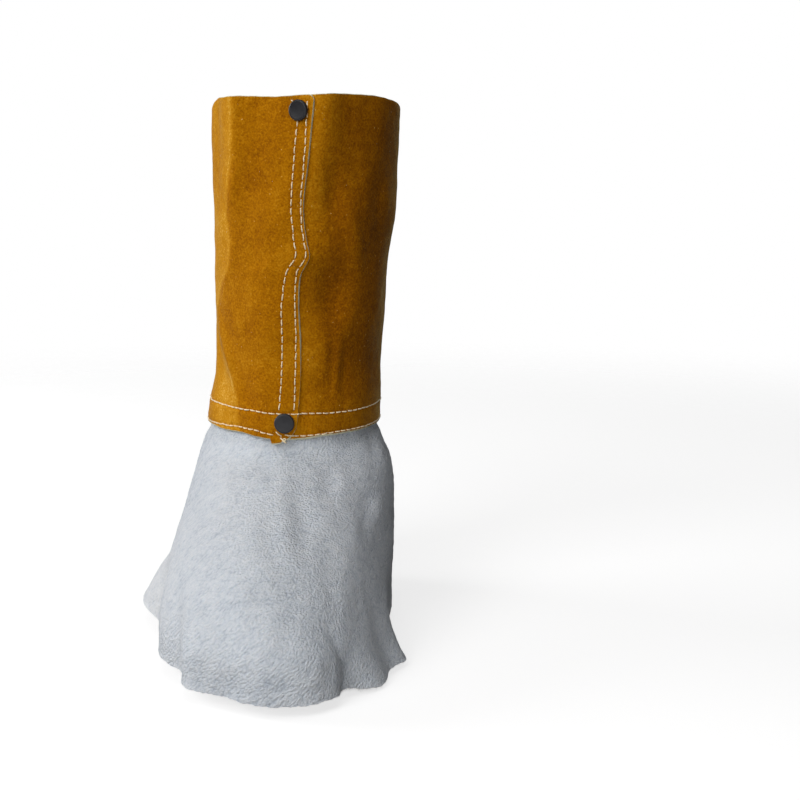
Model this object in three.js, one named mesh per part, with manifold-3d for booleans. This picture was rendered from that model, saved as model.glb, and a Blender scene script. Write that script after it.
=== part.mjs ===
// Welding spat for a right boot: a golden suede leg cuff, lapped at the front and held by two cap rivets,
// with a flared grey suede flap sewn inside its hem that covers the foot.
// Millimetres. The origin is on the leg's axis at the ankle seam, which is the cuff's hem line.
// +Z runs up the leg, -Y points to the toe and +X to the inner side of the foot.
// Angles go round the leg from the front (-Y) towards +X.
import * as THREE from "three";
import { mergeVertices } from "three/addons/utils/BufferGeometryUtils.js";
import Module from "manifold-3d";

const wasm = await Module();
wasm.setup();

// Rows of numbers under named columns.
const table = (names, rows) => rows.map((row) => Object.fromEntries(names.map((name, k) => [name, row[k]])));

// Driving dimensions
const CUFF_HEIGHT = 208; // hem to rim
const CUFF_WALL = 1.6;
const FLAP_WALL = 2.0;
const GAP = 0.3; // kept between neighbouring pieces and between the two layers of the lap
const LAP = 17; // how far the cuff's outer end lies over its inner end
const LAP_RAMP = 24; // arc over which the outer end climbs onto the inner one
const LAP_RADIUS = 65; // radius at the lap, which turns arc lengths there into angles
const RIM_CORNER = { arc: 4, height: 4 }; // rounding of the outer end's upper corner
const HEM_CORNER = { arc: 8, height: 12 }; // rounding of the outer end's lower corner
const TONGUE = { arc: 12.3, width: 3.2, drop: 3 }; // scrap that hangs below the hem beside that corner
const TUCK = 20; // depth of the flap's upper edge inside the cuff
const HEEL_OPENING = { top: 168, hem: 150 }; // angle of the flap's rear edges, each side of the front
const CAP_RADIUS = 6.25;
const CAP_HEIGHT = 2.5;
const CAP_BEVEL = 1.1; // rounding between the flat top and the side
const CAP_FOOT = 0.4; // chamfer where the side meets the leather
const SHANK_RADIUS = 1.9;
const BURR_RADIUS = 4.6; // plain disc that closes the rivet on the inside
const BURR_HEIGHT = 1.1;

// Cap rivets: height, arc in from the lap's free edge, and what of the flap lies under the lap there.
const RIVETS = table(["name", "z", "arc", "flapGrip"], [
  ["cap_rivet_upper", 199.1, 7.4, 0],
  ["cap_rivet_lower", 9.8, 7.7, FLAP_WALL + 2 * GAP],
]);

// Cuff sections from the hem up: height, sideways lean of the axis, and the distance of the outside
// from that axis in eight directions.
const DIRECTIONS = ["front", "frontRight", "right", "backRight", "back", "backLeft", "left", "frontLeft"];
const CUFF_SECTIONS = table(["z", "lean", ...DIRECTIONS], [
  [-20, -1.0, 66, 62, 58.0, 60, 62, 60, 58.5, 60.0],
  [8, -0.2, 66, 62, 57.6, 60, 62, 60, 57.5, 60.0],
  [38, 2.4, 64, 60, 55.6, 58, 60, 58, 54.2, 58.4],
  [70, 4.2, 64, 60, 56.4, 58, 60, 58, 54.8, 59.3],
  [110, 5.7, 64, 61, 58.2, 59, 60, 59, 55.5, 60.0],
  [140, 6.6, 64, 64, 61.4, 60, 60, 59, 57.0, 61.5],
  [165, 7.3, 65, 65, 61.8, 60, 60, 60, 58.0, 62.0],
  [212, 9.1, 66, 66, 62.6, 61, 60, 61, 59.5, 63.5],
]);

// Path of the lap's free edge: height, and arc from the front line towards +X. It kinks at mid height.
const LAP_EDGE = table(["z", "arc"], [
  [0, 7.0],
  [14, 7.3],
  [33, 7.4],
  [58, 6.8],
  [86, 4.9],
  [101, 5.8],
  [112, 10.6],
  [121, 8.5],
  [140, 6.0],
  [167, 8.0],
  [208, 10.5],
]);

// Rise and fall of the rim round the leg.
const RIM_WAVES = [
  { name: "rise right of the lap", angle: 36, spread: 26, rise: 1.8 },
  { name: "rise left of the flat panel", angle: -38, spread: 16, rise: 1.2 },
  { name: "outer corner", angle: -97, spread: 20, rise: -14 },
  { name: "inner corner", angle: 92, spread: 20, rise: -3.5 },
];

// The same for the hem.
const HEM_WAVES = [
  { name: "dip at the front", angle: 0, spread: 16, rise: -1.8 },
  { name: "rise left of the front", angle: -30, spread: 12, rise: 0.9 },
  { name: "rise at the outer side", angle: -62, spread: 16, rise: 1.2 },
];

// Dents and swells of the cuff: where, how far they spread, and how far they stand out.
const CUFF_DENTS = [
  { name: "flat left panel", angle: -17, z: 205, spread: 18, spreadZ: 62, out: -5.0 },
  { name: "corner left of that panel", angle: -38.5, z: 205, spread: 8, spreadZ: 70, out: 2.0 },
  { name: "flat strip behind that corner", angle: -61, z: 190, spread: 11, spreadZ: 62, out: -3.0 },
  { name: "prow beside the upper rivet", angle: 13.5, z: 206, spread: 10.5, spreadZ: 46, out: 6.6 },
  { name: "buckle at the kink", angle: 4, z: 112, spread: 15, spreadZ: 10, out: 1.6 },
  { name: "hollow below the kink", angle: 21, z: 88, spread: 12, spreadZ: 18, out: -4.0 },
  { name: "ridge right of the kink", angle: 37, z: 122, spread: 8, spreadZ: 24, out: 2.5 },
  { name: "slack over the ankle, left", angle: -48, z: 30, spread: 16, spreadZ: 14, out: -2.6 },
  { name: "slack over the ankle, right", angle: 60, z: 44, spread: 18, spreadZ: 14, out: -1.6 },
  { name: "fold behind the outer side", angle: -120, z: 40, spread: 18, spreadZ: 10, out: -3.0 },
  { name: "fold behind the inner side", angle: 128, z: 58, spread: 20, spreadZ: 11, out: -2.6 },
];

// Flap rings below the ankle, by their share of the way to the hem: middle of the ring, its reach to each
// side, how square it is, and its height at the front, the sides and the rear.
const RING_REACH = ["left", "right", "front", "rear", "square"];
const RING_HEIGHT = ["zFront", "zLeft", "zRight", "zRear"];
const FLAP_RINGS = table(["way", "x", "y", ...RING_REACH, ...RING_HEIGHT], [
  [0.36, -1, -14, 66, 66.5, 86, 74, 2.1, -26, -38, -29, -36],
  [0.66, -2, -36, 73, 68.5, 130, 88, 2.2, -58, -72, -70, -70],
  [0.88, 2, -50, 77, 65, 152, 98, 2.3, -91, -95, -100, -92],
  [1.0, 3, -54, 78, 65, 154, 102, 2.3, -114.5, -108, -117, -106],
]);
const ANKLE_WAY = 0.13; // share at the cuff's hem
const ANKLE_Z = -2.5;
const BREAK_WAY = 0.18; // share where the flap leaves the cuff's line
const BREAK_Z = -9;
const BREAK_OUT = { front: 1.2, side: 3.2 };

// Ruffles of the flap: angle and spread round the ring, how far they stand out and hang down at the hem,
// and the share of the way where they start.
const FLAP_RUFFLES = table(["angle", "spread", "out", "drop", "start"], [
  [-122, 12, -5, 0, 0.55],
  [-94, 15, 22, 0, 0.7],
  [-72, 8, -4, 0, 0.6],
  [-58, 9, 4.2, 0, 0.6],
  [-43, 5, -4, 0, 0.72],
  [-33, 7, 3, 0, 0.7],
  [-17, 8, -4.5, 0, 0.6],
  [8, 14, 3.5, 0, 0.55],
  [27, 5, 2.5, 0, 0.85],
  [35, 5, -4, 0, 0.85],
  [47, 9, 10.5, 3.5, 0.83],
  [63, 6.5, 13.5, 1, 0.8],
  [80, 10, -6, 0, 0.75],
  [102, 12, -2, 0, 0.6],
  [124, 11, -4, 0, 0.6],
]);

// Mesh steps: the cuff's columns are closest at its outer end, and its rows meet the lap edge's table
const CUFF_ARC = LAP_RADIUS * 2 * Math.PI + LAP; // the strip's whole length round the leg
const RUN_MARGIN = { lap: 1, ramp: 3, inner: 7 }; // how far each run of columns goes past its bend
const CUFF_COLUMN_RUNS = [
  { to: LAP + RUN_MARGIN.lap, steps: 9 },
  { to: LAP + LAP_RAMP + RUN_MARGIN.ramp, steps: 7 },
  { to: CUFF_ARC - LAP - RUN_MARGIN.inner, steps: 49 },
  { to: CUFF_ARC, steps: 6 },
];
const CUFF_ROW_STEP = 14;
const FLAP_COLUMNS = 80;
const FLAP_ROW_RUNS = [
  { to: ANKLE_WAY, steps: 2 },
  { to: FLAP_RINGS[0].way, steps: 3 },
  { to: FLAP_RINGS[1].way, steps: 3 },
  { to: 1, steps: 6 },
];
const RIVET_SIDES = 20;

const TURN = 2 * Math.PI;
const radians = THREE.MathUtils.degToRad;
const smooth = (x) => THREE.MathUtils.smoothstep(x, 0, 1);
const bell = (x) => Math.exp(-x * x);
const signedPower = (x, power) => Math.sign(x) * Math.abs(x) ** power;

// How far an angle in radians lies from one in degrees, in degrees between -180 and 180.
function turnFrom(angle, degrees) {
  const turned = (angle * 180) / Math.PI - degrees + 180;
  return THREE.MathUtils.euclideanModulo(turned, 360) - 180;
}

// Value at x of a smooth curve through (places, values): cubic pieces that meet at the mean slope.
function curveThrough(places, values, x) {
  const last = places.length - 2;
  let i = 0;
  while (i < last && x > places[i + 1]) i += 1;
  const step = (k) => (values[k + 1] - values[k]) / (places[k + 1] - places[k]);
  const slopeStart = i > 0 ? (step(i - 1) + step(i)) / 2 : step(i);
  const slopeEnd = i < last ? (step(i) + step(i + 1)) / 2 : step(i);
  const width = places[i + 1] - places[i];
  const s = THREE.MathUtils.clamp((x - places[i]) / width, 0, 1);
  const rise = s * s * (3 - 2 * s);
  return (
    values[i] * (1 - rise) +
    values[i + 1] * rise +
    width * s * (1 - s) * (slopeStart * (1 - s) - slopeEnd * s)
  );
}

const column = (rows, name) => rows.map((row) => row[name]);
const fromTable = (rows, key, name, x) => curveThrough(column(rows, key), column(rows, name), x);

// Places from 0 through each run's end, evenly stepped inside a run.
function stepped(runs) {
  const places = [0];
  for (const run of runs) {
    const start = places.at(-1);
    for (let k = 1; k <= run.steps; k += 1) places.push(start + ((run.to - start) * k) / run.steps);
  }
  return places;
}

// The cuff's outside

// Distance from the axis at an angle: a periodic cubic through the eight directions, and the dents.
function cuffRadius(angle, z) {
  const count = DIRECTIONS.length;
  const place = (THREE.MathUtils.euclideanModulo(angle, TURN) / TURN) * count;
  const i = Math.floor(place);
  const s = place - i;
  const at = (k) => fromTable(CUFF_SECTIONS, "z", DIRECTIONS[(i + k + count) % count], z);
  const [before, here, next, after] = [at(-1), at(0), at(1), at(2)];
  const bend = 2 * before - 5 * here + 4 * next - after;
  const twist = 3 * here - before - 3 * next + after;
  const round = here + 0.5 * s * (next - before + s * (bend + s * twist));
  const dents = CUFF_DENTS.reduce(
    (sum, d) => sum + d.out * bell(turnFrom(angle, d.angle) / d.spread) * bell((z - d.z) / d.spreadZ),
    0,
  );
  return round + dents;
}

// Point at an angle and height, lifted off the outside by a distance.
function cuffPoint(angle, z, lift) {
  const r = cuffRadius(angle, z) + lift;
  const lean = fromTable(CUFF_SECTIONS, "z", "lean", z);
  return new THREE.Vector3(lean + r * Math.sin(angle), -r * Math.cos(angle), z);
}

const lapEdgeAngle = (z) => fromTable(LAP_EDGE, "z", "arc", z) / LAP_RADIUS;

// The cuff's leather runs from the lap's free edge (arc 0) once round the leg and on under itself.
const lapLift = (arc) => (CUFF_WALL + GAP) * (1 - smooth((arc - LAP) / LAP_RAMP));
const cuffAngle = (arc, z) => lapEdgeAngle(z) + TURN - arc / LAP_RADIUS;
const leatherPoint = (arc, z) => cuffPoint(cuffAngle(arc, z), z, lapLift(arc));

// Sum of the waves of an edge at an angle.
const waveHeight = (waves, angle) =>
  waves.reduce((sum, w) => sum + w.rise * bell(turnFrom(angle, w.angle) / w.spread), 0);

// How far a rounded corner cuts into the edge at an arc from the corner's side.
function cornerCut(arc, corner) {
  const short = Math.max(corner.arc - arc, 0) / corner.arc;
  return corner.height * (1 - Math.sqrt(1 - short ** 2));
}

function hemHeight(arc) {
  const tongue = TONGUE.drop * bell((arc - TONGUE.arc) / TONGUE.width);
  return cornerCut(arc, HEM_CORNER) - tongue + waveHeight(HEM_WAVES, cuffAngle(arc, 0));
}

function rimHeight(arc) {
  return CUFF_HEIGHT - cornerCut(arc, RIM_CORNER) + waveHeight(RIM_WAVES, cuffAngle(arc, CUFF_HEIGHT));
}

// The flap's outside

function ringPoint(ring, angle) {
  const [s, c] = [Math.sin(angle), Math.cos(angle)];
  const across = s < 0 ? ring.left : ring.right;
  const along = c > 0 ? ring.front : ring.rear;
  const zSide = s < 0 ? ring.zLeft : ring.zRight;
  const zEnd = c > 0 ? ring.zFront : ring.zRear;
  const out = new THREE.Vector3(s / across, -c / along, 0).normalize();
  const grown = (r) => smooth((ring.way - r.start) / (1 - r.start));
  const share = (r) => bell(turnFrom(angle, r.angle) / r.spread) * grown(r);
  const ruffle = FLAP_RUFFLES.reduce((sum, r) => sum + r.out * share(r), 0);
  const drop = FLAP_RUFFLES.reduce((sum, r) => sum + r.drop * share(r), 0);
  const point = new THREE.Vector3(
    ring.x + across * signedPower(s, 2 / ring.square),
    ring.y - along * signedPower(c, 2 / ring.square),
    zEnd * c * c + zSide * s * s - drop,
  );
  return point.addScaledVector(out, ruffle);
}

// Point at an angle and a share of the way from the tucked edge to the hem.
function flapPoint(angle, way) {
  const inside = -(CUFF_WALL + GAP);
  const breakOut = THREE.MathUtils.lerp(BREAK_OUT.front, BREAK_OUT.side, Math.sin(angle) ** 2);
  const places = [0, ANKLE_WAY, BREAK_WAY, ...column(FLAP_RINGS, "way")];
  const points = [
    cuffPoint(angle, TUCK, inside),
    cuffPoint(angle, ANKLE_Z, inside),
    cuffPoint(angle, BREAK_Z, inside + breakOut),
    ...FLAP_RINGS.map((ring) => ringPoint(ring, angle)),
  ];
  const at = (axis) => curveThrough(places, column(points, axis), way);
  return new THREE.Vector3(at("x"), at("y"), at("z"));
}

// Solids

// A wall from a grid of points on its outside. Columns go round the leg and rows go up.
function wallFromGrid(grid, thickness) {
  const columns = grid.length;
  const rows = grid[0].length;
  const inner = grid.map((line, i) =>
    line.map((point, j) => {
      const round = grid[Math.min(i + 1, columns - 1)][j].clone().sub(grid[Math.max(i - 1, 0)][j]);
      const up = line[Math.min(j + 1, rows - 1)].clone().sub(line[Math.max(j - 1, 0)]);
      return point.clone().addScaledVector(round.cross(up).normalize(), -thickness);
    }),
  );
  const positions = [...grid.flat(), ...inner.flat()].flatMap((p) => p.toArray());
  const outside = (i, j) => i * rows + j;
  const inside = (i, j) => columns * rows + i * rows + j;
  const faces = [];
  const quad = (a, b, c, d) => faces.push(a, b, c, a, c, d);
  const top = rows - 1;
  for (let i = 0; i + 1 < columns; i += 1) {
    for (let j = 0; j + 1 < rows; j += 1) {
      quad(outside(i, j), outside(i + 1, j), outside(i + 1, j + 1), outside(i, j + 1));
      quad(inside(i, j), inside(i, j + 1), inside(i + 1, j + 1), inside(i + 1, j));
    }
    quad(inside(i, 0), inside(i + 1, 0), outside(i + 1, 0), outside(i, 0));
    quad(outside(i, top), outside(i + 1, top), inside(i + 1, top), inside(i, top));
  }
  const end = columns - 1;
  for (let j = 0; j + 1 < rows; j += 1) {
    quad(inside(0, j), outside(0, j), outside(0, j + 1), inside(0, j + 1));
    quad(outside(end, j), inside(end, j), inside(end, j + 1), outside(end, j + 1));
  }
  return new THREE.BufferGeometry()
    .setAttribute("position", new THREE.Float32BufferAttribute(positions, 3))
    .setIndex(faces);
}

function cuffWall() {
  const rowSteps = (row, k) => Math.ceil((row.z - LAP_EDGE[k].z) / CUFF_ROW_STEP);
  const arcs = stepped(CUFF_COLUMN_RUNS);
  const heights = stepped(LAP_EDGE.slice(1).map((row, k) => ({ to: row.z, steps: rowSteps(row, k) })));
  // Arcs run back from the free edge, so the columns are reversed to go round with the angle.
  const grid = arcs.reverse().map((arc) =>
    heights.map((z) => {
      const low = hemHeight(arc);
      return leatherPoint(arc, low + ((rimHeight(arc) - low) * z) / CUFF_HEIGHT);
    }),
  );
  return wallFromGrid(grid, CUFF_WALL);
}

function flapWall() {
  const ways = stepped(FLAP_ROW_RUNS).reverse();
  const shares = Array.from({ length: FLAP_COLUMNS + 1 }, (_, i) => (2 * i) / FLAP_COLUMNS - 1);
  const rearAngle = (way) => radians(THREE.MathUtils.lerp(HEEL_OPENING.top, HEEL_OPENING.hem, way));
  const grid = shares.map((share) => ways.map((way) => flapPoint(share * rearAngle(way), way)));
  return wallFromGrid(grid, FLAP_WALL);
}

// A rivet on the Y axis: the leather's outside is at 0, the cap stands above it and the burr closes it below.
function rivetProfile(grip) {
  const seat = GAP;
  const top = seat + CAP_HEIGHT;
  const burr = -grip - 2 * GAP;
  const arcInset = CAP_BEVEL * (1 - Math.SQRT1_2);
  const outline = [
    [0, burr - BURR_HEIGHT],
    [BURR_RADIUS, burr - BURR_HEIGHT],
    [BURR_RADIUS, burr],
    [SHANK_RADIUS, burr],
    [SHANK_RADIUS, seat],
    [CAP_RADIUS - CAP_FOOT, seat],
    [CAP_RADIUS, seat + CAP_FOOT],
    [CAP_RADIUS, top - CAP_BEVEL],
    [CAP_RADIUS - arcInset, top - arcInset],
    [CAP_RADIUS - CAP_BEVEL, top],
    [0, top],
  ];
  return outline.map(([x, y]) => new THREE.Vector2(x, y));
}

// Where a rivet goes through the lap: its point on the outside and the turn from Y to the leather's normal.
function rivetPlace({ arc, z }) {
  const reach = 2;
  const point = leatherPoint(arc, z);
  const round = leatherPoint(arc - reach, z).sub(leatherPoint(arc + reach, z));
  const up = leatherPoint(arc, z + reach).sub(leatherPoint(arc, z - reach));
  const out = round.cross(up).normalize();
  return { point, turn: new THREE.Quaternion().setFromUnitVectors(new THREE.Vector3(0, 1, 0), out) };
}

// Cuts

function solidFrom(geometry) {
  const tolerance = 1e-4;
  const bare = new THREE.BufferGeometry().setAttribute("position", geometry.getAttribute("position"));
  const merged = mergeVertices(bare.setIndex(geometry.index), tolerance);
  const mesh = new wasm.Mesh({
    numProp: 3,
    vertProperties: new Float32Array(merged.getAttribute("position").array),
    triVerts: new Uint32Array(merged.index.array),
  });
  return new wasm.Manifold(mesh);
}

function geometryFrom(solid) {
  const { vertProperties, triVerts } = solid.getMesh();
  const geometry = new THREE.BufferGeometry();
  geometry.setAttribute("position", new THREE.Float32BufferAttribute(vertProperties, 3));
  geometry.setIndex(Array.from(triVerts));
  geometry.computeVertexNormals();
  return geometry;
}

// Holes for the rivets' shanks through every layer at the lap.
function punched(geometry) {
  const depth = 40;
  const punch = new THREE.CylinderGeometry(SHANK_RADIUS + GAP, SHANK_RADIUS + GAP, depth, RIVET_SIDES);
  let solid = solidFrom(geometry);
  for (const rivet of RIVETS) {
    const { point, turn } = rivetPlace(rivet);
    const hole = punch.clone().applyQuaternion(turn).translate(point.x, point.y, point.z);
    solid = solid.subtract(solidFrom(hole));
  }
  return geometryFrom(solid);
}

// The assembly

const goldSuede = new THREE.MeshStandardMaterial({ color: 0xa3690c, roughness: 0.95, metalness: 0 });
const greySuede = new THREE.MeshStandardMaterial({ color: 0xb4babf, roughness: 0.97, metalness: 0 });
const blackEnamel = new THREE.MeshStandardMaterial({ color: 0x2a2a2e, roughness: 0.42, metalness: 0.2 });

const spat = new THREE.Group();
spat.name = "welding_spat";

function addPiece(name, geometry, material) {
  const mesh = new THREE.Mesh(geometry, material);
  mesh.name = name;
  spat.add(mesh);
  return mesh;
}

addPiece("leg_cuff", punched(cuffWall()), goldSuede);
addPiece("foot_flap", punched(flapWall()), greySuede);
for (const rivet of RIVETS) {
  const { point, turn } = rivetPlace(rivet);
  const grip = 2 * CUFF_WALL + GAP + rivet.flapGrip;
  const mesh = addPiece(rivet.name, new THREE.LatheGeometry(rivetProfile(grip), RIVET_SIDES), blackEnamel);
  mesh.position.copy(point);
  mesh.quaternion.copy(turn);
}

export default spat;
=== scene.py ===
# Welding spat for a right boot: golden suede cuff, grey split-leather flap, cream stitching, black caps
import math

import bpy
import numpy as np
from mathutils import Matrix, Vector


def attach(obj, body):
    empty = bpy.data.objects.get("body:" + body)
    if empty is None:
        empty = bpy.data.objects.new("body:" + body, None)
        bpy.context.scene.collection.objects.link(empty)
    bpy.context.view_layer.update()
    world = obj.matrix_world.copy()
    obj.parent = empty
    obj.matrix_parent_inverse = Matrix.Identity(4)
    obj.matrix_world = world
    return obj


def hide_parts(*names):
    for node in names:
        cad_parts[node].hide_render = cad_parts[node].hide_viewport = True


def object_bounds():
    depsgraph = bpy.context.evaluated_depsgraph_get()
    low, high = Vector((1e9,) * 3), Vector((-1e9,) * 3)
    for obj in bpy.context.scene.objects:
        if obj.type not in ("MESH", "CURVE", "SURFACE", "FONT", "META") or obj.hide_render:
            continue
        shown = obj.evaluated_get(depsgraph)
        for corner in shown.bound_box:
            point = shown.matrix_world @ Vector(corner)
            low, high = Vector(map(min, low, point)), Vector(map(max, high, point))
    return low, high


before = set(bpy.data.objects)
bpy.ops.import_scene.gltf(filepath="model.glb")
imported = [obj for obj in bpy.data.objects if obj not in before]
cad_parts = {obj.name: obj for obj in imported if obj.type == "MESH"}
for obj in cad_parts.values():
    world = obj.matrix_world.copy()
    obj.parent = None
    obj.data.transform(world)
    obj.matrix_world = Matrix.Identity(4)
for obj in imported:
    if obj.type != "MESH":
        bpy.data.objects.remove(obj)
cadLow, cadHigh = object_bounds()
print("frame loaded, nodes:", ", ".join(sorted(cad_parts)))

mm = 0.001
turn = 2 * math.pi


def bell(x):
    return np.exp(-x * x)


def smooth(x):
    x = np.clip(x, 0, 1)
    return x * x * (3 - 2 * x)


def turnFrom(angle, degrees):
    return (np.degrees(angle) - degrees + 180) % 360 - 180


# sum of waves round the leg: angle, spread, rise
def angleWaves(waves, angle):
    return sum(rise * bell(turnFrom(angle, at) / spread) for at, spread, rise in waves)


# sum of fine waves along an edge: size, rate, start
def waver(waves, place):
    return sum(size * np.sin(place * rate + start) for size, rate, start in waves)


# how far folds stand out: angle, place, spread, spread in place, out, degrees the crest moves with the place
def foldRelief(folds, angle, place):
    total = np.zeros(np.broadcast(angle, place).shape)
    for at, height, spread, spreadUp, out, drift in folds:
        away = turnFrom(angle, at) - drift * (place - height)
        total += out * bell(away / spread) * bell((place - height) / spreadUp)
    return total


# slopes at the rows of a table, from the steps between them
def middleSlopes(steps):
    return np.concatenate([steps[:1], (steps[1:] + steps[:-1]) / 2, steps[-1:]])


# cubic from one row to the next, at share s of the width between them
def cubicBetween(first, second, firstSlope, secondSlope, width, s):
    rise = s * s * (3 - 2 * s)
    bend = width * s * (1 - s) * (firstSlope * (1 - s) - secondSlope * s)
    return first * (1 - rise) + second * rise + bend


# smooth curve through the rows of a table, at x
def curveThrough(places, values, x):
    places = np.asarray(places, float)
    values = np.asarray(values, float)
    spans = np.diff(places)
    slope = middleSlopes(np.diff(values, axis=0) / spans.reshape((-1,) + (1,) * (values.ndim - 1)))
    i = np.clip(np.searchsorted(places, x, side="left") - 1, 0, len(spans) - 1)
    width = spans[i]
    s = np.clip((x - places[i]) / width, 0, 1)
    if values.ndim > 1:
        s = s[..., None]
        width = width[..., None]
    return cubicBetween(values[i], values[i + 1], slope[i], slope[i + 1], width, s)


# gentle unevenness of about -1 to 1 in space, the same on every run
def ripple(points, wavelength, seed):
    waves = 16
    lengthSpread = (0.7, 1.5)
    draw = np.random.default_rng(seed)
    ways = draw.normal(size=(waves, 3))
    ways /= np.linalg.norm(ways, axis=1, keepdims=True)
    lengths = wavelength * draw.uniform(*lengthSpread, waves)
    starts = draw.uniform(0, turn, waves)
    total = np.zeros(points.shape[:-1])
    for k in range(waves):
        total += np.cos(points @ ways[k] * (turn / lengths[k]) + starts[k])
    return total * math.sqrt(1 / waves)


# several sizes of it: wavelength, height
def unevenness(sizes, points, seed):
    return sum(out * ripple(points, length, seed + k) for k, (length, out) in enumerate(sizes))


# places from 0 through each (end, step size) run
def stepped(runs):
    places = [0.0]
    for end, size in runs:
        count = max(1, round((end - places[-1]) / size))
        places += list(np.linspace(places[-1], end, count + 1)[1:])
    return np.array(places)


def unit(vectors):
    return vectors / np.maximum(np.linalg.norm(vectors, axis=-1, keepdims=True), 1e-12)


def meshObject(name, points, faces, materials, faceMaterials=None, wearAndPaintedLight=None):
    mesh = bpy.data.meshes.new(name)
    mesh.from_pydata(np.asarray(points).tolist(), [], faces)
    mesh.update()
    for material in materials:
        mesh.materials.append(material)
    if faceMaterials is not None:
        mesh.polygons.foreach_set("material_index", np.asarray(faceMaterials, np.int32))
    if wearAndPaintedLight is not None:
        wearAndPaintedLightValues = mesh.attributes.new("wearAndPaintedLight", "FLOAT", "POINT")
        wearAndPaintedLightValues.data.foreach_set("value", np.asarray(wearAndPaintedLight, np.float32))
    mesh.polygons.foreach_set("use_smooth", np.ones(len(mesh.polygons), bool))
    obj = bpy.data.objects.new(name, mesh)
    bpy.context.scene.collection.objects.link(obj)
    return obj


# Materials

def addNode(tree, kind, inputs=None, **settings):
    made = tree.nodes.new(kind)
    for key, value in settings.items():
        setattr(made, key, value)
    for key, value in (inputs or {}).items():
        if isinstance(value, bpy.types.NodeSocket):
            tree.links.new(value, made.inputs[key])
        else:
            made.inputs[key].default_value = value
    return made


def startMaterial(name):
    material = bpy.data.materials.new(name)
    material.use_nodes = True
    tree = material.node_tree
    shader = tree.nodes["Principled BSDF"]
    place = tree.nodes.new("ShaderNodeTexCoord").outputs["Object"]
    return material, tree, shader, place


def noise(tree, place, scale, detail, roughness, distortion=0.0):
    grain = addNode(tree, "ShaderNodeTexNoise", {
        "Vector": place, "Scale": scale, "Detail": detail,
        "Roughness": roughness, "Distortion": distortion})
    return grain.outputs["Fac"]


midTone = 0.5  # noise swings about this


# base plus each named socket's swing about its middle, by its weight
def weighted(tree, base, sockets, weights):
    total = base
    for name, weight in weights.items():
        middle = 0.0 if name == "wearAndPaintedLight" else midTone
        swing = addNode(tree, "ShaderNodeMath", {0: sockets[name], 1: middle}, operation="SUBTRACT")
        added = addNode(tree, "ShaderNodeMath", {0: swing.outputs[0], 1: weight, 2: total},
                        operation="MULTIPLY_ADD")
        total = added.outputs[0]
    return total


def ramp(tree, factor, stops):
    made = addNode(tree, "ShaderNodeValToRGB", {"Fac": factor})
    elements = made.color_ramp.elements
    while len(elements) < len(stops):
        elements.new(0.5)
    for element, (position, colour) in zip(elements, stops):
        element.position = position
        element.color = (*colour, 1)
    return made.outputs["Color"]


def bumped(tree, shader, height, strength, distance):
    bump = addNode(tree, "ShaderNodeBump", {"Height": height, "Strength": strength, "Distance": distance})
    tree.links.new(bump.outputs["Normal"], shader.inputs["Normal"])


def setSockets(shader, values):
    for name, value in values.items():
        shader.inputs[name].default_value = value


# how worn each place of a mesh is, together with the light and shade painted there
def wearAndPaintedLightSocket(tree):
    return addNode(tree, "ShaderNodeAttribute", attribute_name="wearAndPaintedLight").outputs["Fac"]


goldLook = {
    "stops": [(0.0, (0.10, 0.025, 0.0004)), (0.3, (0.282, 0.090, 0.0006)), (0.52, (0.44, 0.163, 0.001)),
              (0.76, (0.59, 0.262, 0.010)), (1.0, (0.80, 0.47, 0.09))],
    # scale per metre, detail, roughness, distortion
    "grains": {"patches": (30, 4, 0.6, 0.4), "nap": (210, 4, 0.62), "grain": (820, 4, 0.6)},
    "tone": {"patches": 0.42, "nap": 0.34, "grain": 0.85, "wearAndPaintedLight": 0.55},  # weights in the colour
    "height": {"nap": 0.5, "grain": 0.6},  # weights in the bump
    "bump": (0.8, 0.0008),  # strength, distance
    # pale specks where the nap catches lint
    "flecks": (820, 1, 0.4),
    "fleckStops": [(0.78, (0, 0, 0)), (0.83, (0.7, 0.7, 0.7))],
    "fleckColour": (0.80, 0.62, 0.33, 1),
    "sockets": {"Roughness": 0.93, "Sheen Weight": 0.36, "Sheen Roughness": 0.28,
                "Sheen Tint": (1.0, 0.82, 0.36, 1), "Specular IOR Level": 0.03},
}


def makeGoldSuede():
    material, tree, shader, place = startMaterial("goldSuede")
    look = goldLook
    sockets = {name: noise(tree, place, *grain) for name, grain in look["grains"].items()}
    # the cuff's painted light and shade, with its worn edges, from the mesh
    sockets["wearAndPaintedLight"] = wearAndPaintedLightSocket(tree)
    body = ramp(tree, weighted(tree, midTone, sockets, look["tone"]), look["stops"])
    fleck = ramp(tree, noise(tree, place, *look["flecks"]), look["fleckStops"])
    mixed = addNode(tree, "ShaderNodeMix", {"Factor": fleck, "A": body, "B": look["fleckColour"]},
                    data_type="RGBA")
    tree.links.new(mixed.outputs["Result"], shader.inputs["Base Color"])
    bumped(tree, shader, weighted(tree, midTone, sockets, look["height"]), *look["bump"])
    setSockets(shader, look["sockets"])
    return material


greyLook = {
    "stops": [(0.0, (0.25, 0.285, 0.35)), (0.28, (0.50, 0.55, 0.63)), (0.5, (0.69, 0.737, 0.80)),
              (0.74, (0.80, 0.83, 0.875)), (1.0, (0.91, 0.925, 0.945))],
    "patches": (24, 4, 0.55, 0.3),
    "slant": (0, 0.75, 0),  # lean of the fibres, radians
    "stretch": (1.0, 1.0, 1.8),  # how much longer their grains are that way
    "fibreGrains": {"clumps": (210, 4, 0.6), "fuzz": (1700, 3, 0.6)},
    "pitScale": 780,
    "base": 0.57,
    "tone": {"patches": 0.24, "clumps": 0.62, "pits": 0.4, "fuzz": 0.5, "wearAndPaintedLight": 0.5},
    "height": {"clumps": 0.6, "pits": 0.65, "fuzz": 0.8},
    "bump": (1.0, 0.0016),
    "sockets": {"Roughness": 0.95, "Sheen Weight": 0.2, "Sheen Roughness": 0.5,
                "Sheen Tint": (1, 1, 1, 1), "Specular IOR Level": 0.1},
}


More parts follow.
